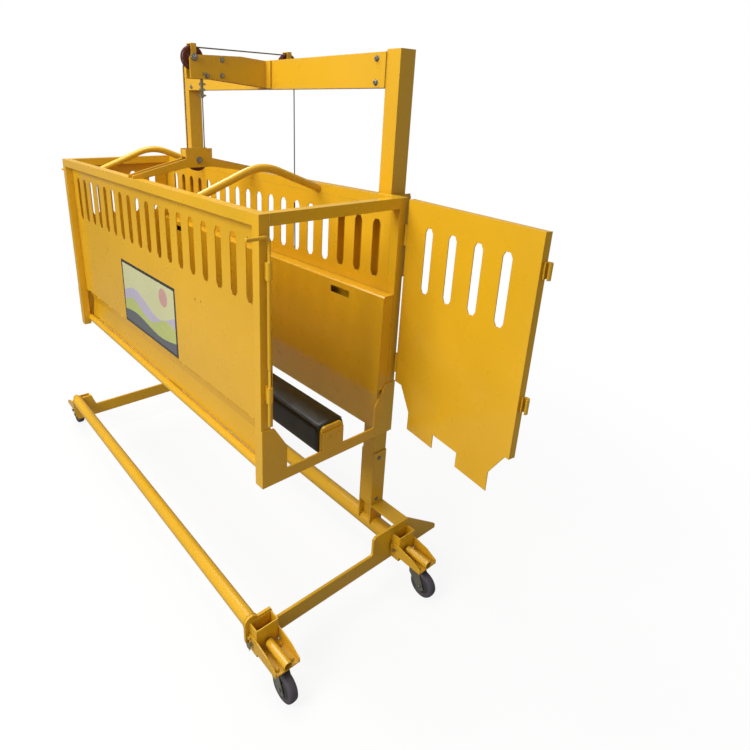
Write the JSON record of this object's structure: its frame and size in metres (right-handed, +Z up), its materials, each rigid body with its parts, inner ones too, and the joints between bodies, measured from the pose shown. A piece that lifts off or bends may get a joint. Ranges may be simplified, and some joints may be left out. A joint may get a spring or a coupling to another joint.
{
  "type": "sow hoof trimming machine",
  "caption": "Slotted steel sow crate with a padded belly beam, winched up between side masts on a wheeled base.",
  "frame": {"origin": "on the floor under the middle of the outline, open gate included", "axes": "+Z up; +Y along the crate from the open front gate to the rear gate; +X across the crate towards the masts"},
  "size_m": [1.2462, 2.948, 2.3581],
  "materials": {
    "yellow_paint": "glossy yellow enamel",
    "dark_paint": "dull dark coat",
    "maroon_paint": "dull maroon primer",
    "zinc": "zinc plated",
    "wire_rope": "dull wire rope",
    "black_vinyl": "smooth black vinyl over foam",
    "grey_rubber": "matt grey tread"
  },
  "bodies": {
    "machine": {"base_plate_front": "yellow_paint", "base_plate_rear": "yellow_paint", "base_tube_left": "yellow_paint", "base_tube_right": "yellow_paint", "mast_front": "yellow_paint", "mast_rear": "yellow_paint", "mast_foot_front": "yellow_paint", "mast_foot_rear": "yellow_paint", "top_beam": "yellow_paint", "lift_arm": "yellow_paint", "winch_rail": "yellow_paint", "winch_frame": "dark_paint", "rope_thimble": "zinc", "rope_upper": "wire_rope", "rope_live_fall": "wire_rope", "rope_dead_fall": "wire_rope", "wheel_bracket_front_left": "yellow_paint", "caster_plate_front_left": "zinc", "wheel_bracket_front_right": "yellow_paint", "caster_plate_front_right": "zinc", "wheel_bracket_rear_left": "yellow_paint", "caster_plate_rear_left": "zinc", "wheel_bracket_rear_right": "yellow_paint", "caster_plate_rear_right": "zinc"},
    "crate": {"crate_frame": "yellow_paint", "side_panel_left": "yellow_paint", "side_panel_right": "yellow_paint", "inner_board_left": "yellow_paint", "inner_board_right": "yellow_paint", "belly_beam": "yellow_paint", "belly_pad": "black_vinyl", "head_arch_front": "yellow_paint", "head_arch_rear": "yellow_paint", "lift_bridge": "yellow_paint", "crate_sheave_pin": "zinc", "guide_carriage_front": "dark_paint", "guide_carriage_rear": "dark_paint", "rope_bight": "wire_rope"},
    "winch_drum": {"winch_drum": "zinc", "rope_winding": "wire_rope"},
    "winch_crank": {"winch_crank": "zinc"},
    "tip_sheave": {"tip_sheave": "maroon_paint"},
    "root_sheave": {"root_sheave": "maroon_paint"},
    "crate_sheave": {"crate_sheave": "maroon_paint"},
    "gate_front": {"gate_front": "yellow_paint"},
    "gate_rear": {"gate_rear": "yellow_paint"},
    "latch_front": {"latch_rod_front": "yellow_paint"},
    "latch_rear": {"latch_rod_rear": "yellow_paint"},
    "fork_front_left": {"caster_fork_front_left": "zinc"},
    "wheel_front_left": {"caster_wheel_front_left": "grey_rubber"},
    "lock_pin_front_left": {"lock_pin_front_left": "zinc"},
    "fork_front_right": {"caster_fork_front_right": "zinc"},
    "wheel_front_right": {"caster_wheel_front_right": "grey_rubber"},
    "lock_pin_front_right": {"lock_pin_front_right": "zinc"},
    "fork_rear_left": {"caster_fork_rear_left": "zinc"},
    "wheel_rear_left": {"caster_wheel_rear_left": "grey_rubber"},
    "lock_pin_rear_left": {"lock_pin_rear_left": "zinc"},
    "fork_rear_right": {"caster_fork_rear_right": "zinc"},
    "wheel_rear_right": {"caster_wheel_rear_right": "grey_rubber"},
    "lock_pin_rear_right": {"lock_pin_rear_right": "zinc"}
  },
  "joints": [
    {"name": "crate_lift", "type": "slide", "parent": "machine", "child": "crate", "axis": [0, 0, 1], "range_m": [-0.65, 0.15], "deforming": ["rope_live_fall", "rope_dead_fall"]},
    {"name": "tip_sheave_turn", "type": "hinge", "parent": "machine", "child": "tip_sheave", "pos_m": [-0.18235, 0.18854, 2.30105], "axis": [0, 1, 0], "range_deg": [-1735, 402]},
    {"name": "root_sheave_turn", "type": "hinge", "parent": "machine", "child": "root_sheave", "pos_m": [0.33365, 0.18854, 2.30105], "axis": [0, 1, 0], "range_deg": [-1735, 402]},
    {"name": "crate_sheave_turn", "type": "hinge", "parent": "crate", "child": "crate_sheave", "pos_m": [-0.18235, 0.18854, 1.86505], "axis": [0, 1, 0], "range_deg": [-869, 202]},
    {"name": "drum_turn", "type": "hinge", "parent": "machine", "child": "winch_drum", "pos_m": [0.40915, 0.18854, 0.89905], "axis": [0, 1, 0], "range_deg": [-531, 2294]},
    {"name": "crank_turn", "type": "hinge", "parent": "machine", "child": "winch_crank", "pos_m": [0.40915, 0.18854, 0.97405], "axis": [0, 1, 0], "range_deg": [-9170, 2118]},
    {"name": "gate_swing_front", "type": "hinge", "parent": "crate", "child": "gate_front", "pos_m": [0.15865, -0.83146, 1.39905], "axis": [0, 0, 1], "range_deg": [-80, 90]},
    {"name": "gate_swing_rear", "type": "hinge", "parent": "crate", "child": "gate_rear", "pos_m": [0.15865, 1.20854, 1.39905], "axis": [0, 0, -1], "range_deg": [0, 170]},
    {"name": "latch_turn_front", "type": "hinge", "parent": "crate", "child": "latch_front", "pos_m": [-0.48035, -0.84046, 1.39905], "axis": [0, 0, 1], "range_deg": [0, 90]},
    {"name": "latch_turn_rear", "type": "hinge", "parent": "crate", "child": "latch_rear", "pos_m": [-0.48035, 1.21754, 1.39905], "axis": [0, 0, 1], "range_deg": [0, 90]},
    {"name": "caster_swivel_front_left", "type": "hinge", "parent": "machine", "child": "fork_front_left", "pos_m": [-0.54935, -0.99146, 0.15705], "axis": [0, 0, 1], "continuous": true},
    {"name": "wheel_spin_front_left", "type": "hinge", "parent": "fork_front_left", "child": "wheel_front_left", "pos_m": [-0.54935, -1.03446, 0.06155], "axis": [1, 0, 0], "continuous": true},
    {"name": "lock_pin_slide_front_left", "type": "slide", "parent": "machine", "child": "lock_pin_front_left", "axis": [-1, 0, 0], "range_m": [0, 0.145]},
    {"name": "caster_swivel_front_right", "type": "hinge", "parent": "machine", "child": "fork_front_right", "pos_m": [0.23065, -0.99146, 0.15705], "axis": [0, 0, 1], "continuous": true},
    {"name": "wheel_spin_front_right", "type": "hinge", "parent": "fork_front_right", "child": "wheel_front_right", "pos_m": [0.23065, -1.03446, 0.06155], "axis": [1, 0, 0], "continuous": true},
    {"name": "lock_pin_slide_front_right", "type": "slide", "parent": "machine", "child": "lock_pin_front_right", "axis": [1, 0, 0], "range_m": [0, 0.145]},
    {"name": "caster_swivel_rear_left", "type": "hinge", "parent": "machine", "child": "fork_rear_left", "pos_m": [-0.54935, 1.36854, 0.15705], "axis": [0, 0, 1], "continuous": true},
    {"name": "wheel_spin_rear_left", "type": "hinge", "parent": "fork_rear_left", "child": "wheel_rear_left", "pos_m": [-0.54935, 1.41154, 0.06155], "axis": [1, 0, 0], "continuous": true},
    {"name": "lock_pin_slide_rear_left", "type": "slide", "parent": "machine", "child": "lock_pin_rear_left", "axis": [-1, 0, 0], "range_m": [0, 0.145]},
    {"name": "caster_swivel_rear_right", "type": "hinge", "parent": "machine", "child": "fork_rear_right", "pos_m": [0.23065, 1.36854, 0.15705], "axis": [0, 0, 1], "continuous": true},
    {"name": "wheel_spin_rear_right", "type": "hinge", "parent": "fork_rear_right", "child": "wheel_rear_right", "pos_m": [0.23065, 1.41154, 0.06155], "axis": [1, 0, 0], "continuous": true},
    {"name": "lock_pin_slide_rear_right", "type": "slide", "parent": "machine", "child": "lock_pin_rear_right", "axis": [1, 0, 0], "range_m": [0, 0.145]}
  ],
  "couplings": [
    {"joint": "tip_sheave_turn", "follows": "crate_lift", "rad_per_m": 46.512},
    {"joint": "root_sheave_turn", "follows": "crate_lift", "rad_per_m": 46.512},
    {"joint": "crate_sheave_turn", "follows": "crate_lift", "rad_per_m": 23.256},
    {"joint": "drum_turn", "follows": "crate_lift", "rad_per_m": -61.538},
    {"joint": "crank_turn", "follows": "crate_lift", "rad_per_m": 246.15}
  ]
}
